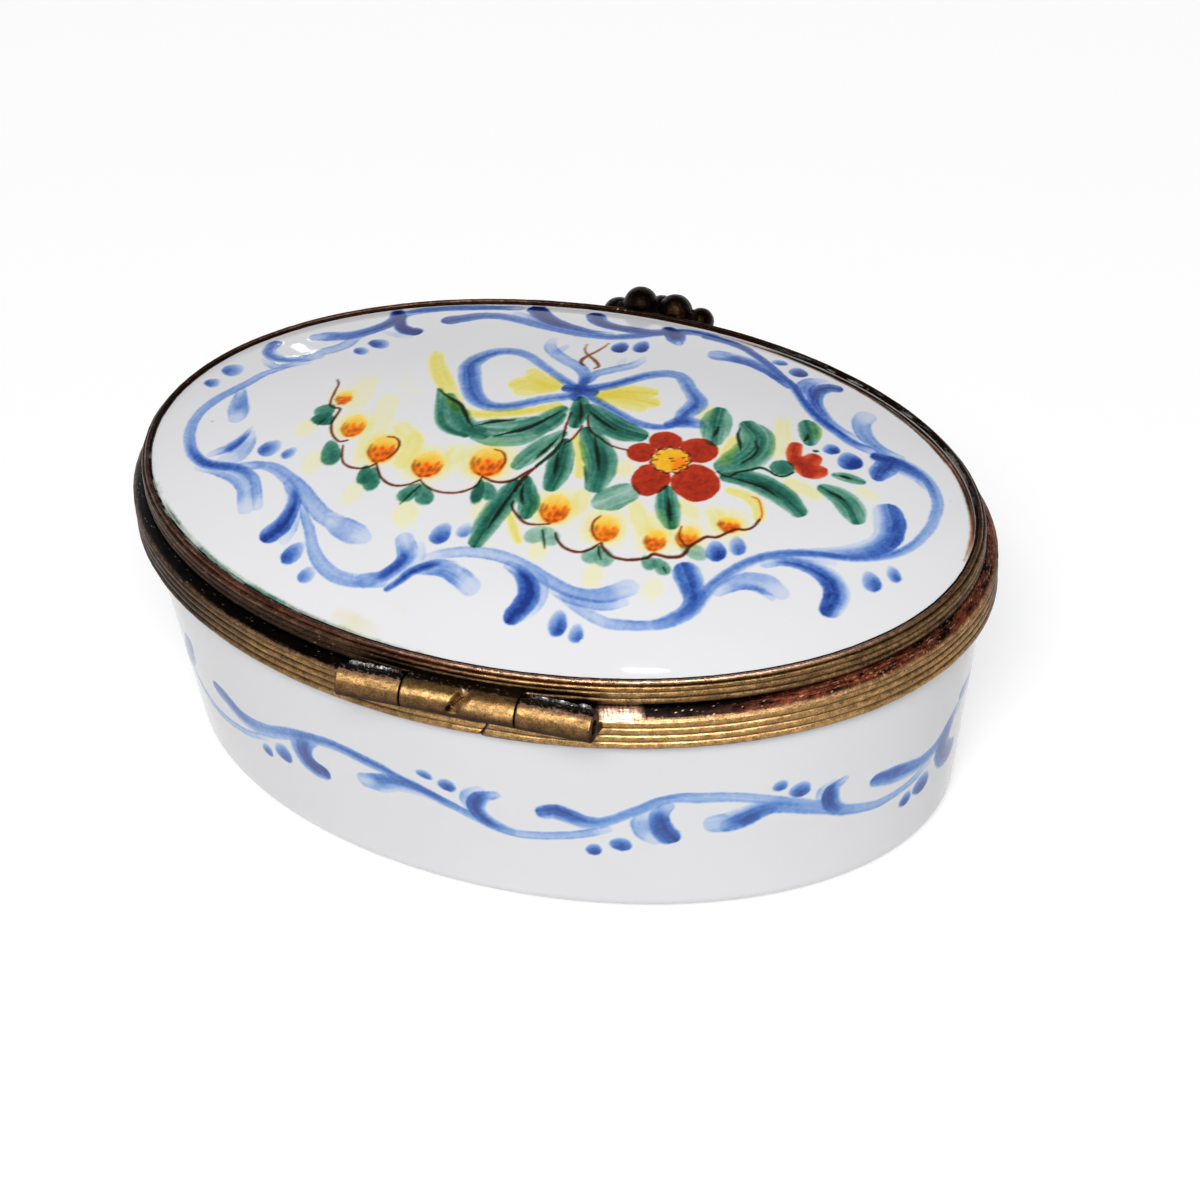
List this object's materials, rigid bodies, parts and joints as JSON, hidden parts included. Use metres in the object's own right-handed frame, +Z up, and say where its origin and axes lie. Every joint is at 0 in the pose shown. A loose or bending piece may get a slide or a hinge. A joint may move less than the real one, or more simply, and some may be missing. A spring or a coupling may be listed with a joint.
{
  "type": "oval hinged trinket box",
  "caption": "Oval glazed porcelain keepsake box with ridged brass mounts, a domed lid on a tube hinge, and a berry-cluster snap clasp.",
  "frame": {"origin": "centre of the flat underside, on the middle of the oval", "axes": "+X along the oval's long axis, +Y towards the clasp side (the hinge is on -Y), +Z up"},
  "size_m": [0.066, 0.0489, 0.0278],
  "materials": {
    "porcelain": "clear gloss glaze over cool white porcelain, with hand-painted enamel decoration",
    "brass": "aged gilt brass, satin, worn bright on ridge crowns",
    "dark_brass": "brass tarnished dark brown to black, with coppery speckle",
    "solder": "rough silver-grey solder",
    "cement": "matt mounting cement"
  },
  "bodies": {
    "base": {"base_porcelain": "porcelain", "base_cement": "cement", "base_bezel": "brass", "clasp_catch": "brass", "hinge_knuckle_left": "brass", "hinge_knuckle_right": "brass", "hinge_solder_left": "solder", "hinge_solder_right": "solder", "hinge_pin": "dark_brass"},
    "lid": {"lid_porcelain": "porcelain", "lid_cement": "cement", "lid_bezel": "dark_brass", "hinge_knuckle_lid": "brass", "clasp_thumbpiece": "dark_brass", "clasp_tongue": "brass"}
  },
  "joints": [
    {"name": "lid_hinge", "type": "hinge", "parent": "base", "child": "lid", "pos_m": [0, -0.0228, 0.02335], "axis": [1, 0, 0], "range_deg": [0, 105]}
  ]
}
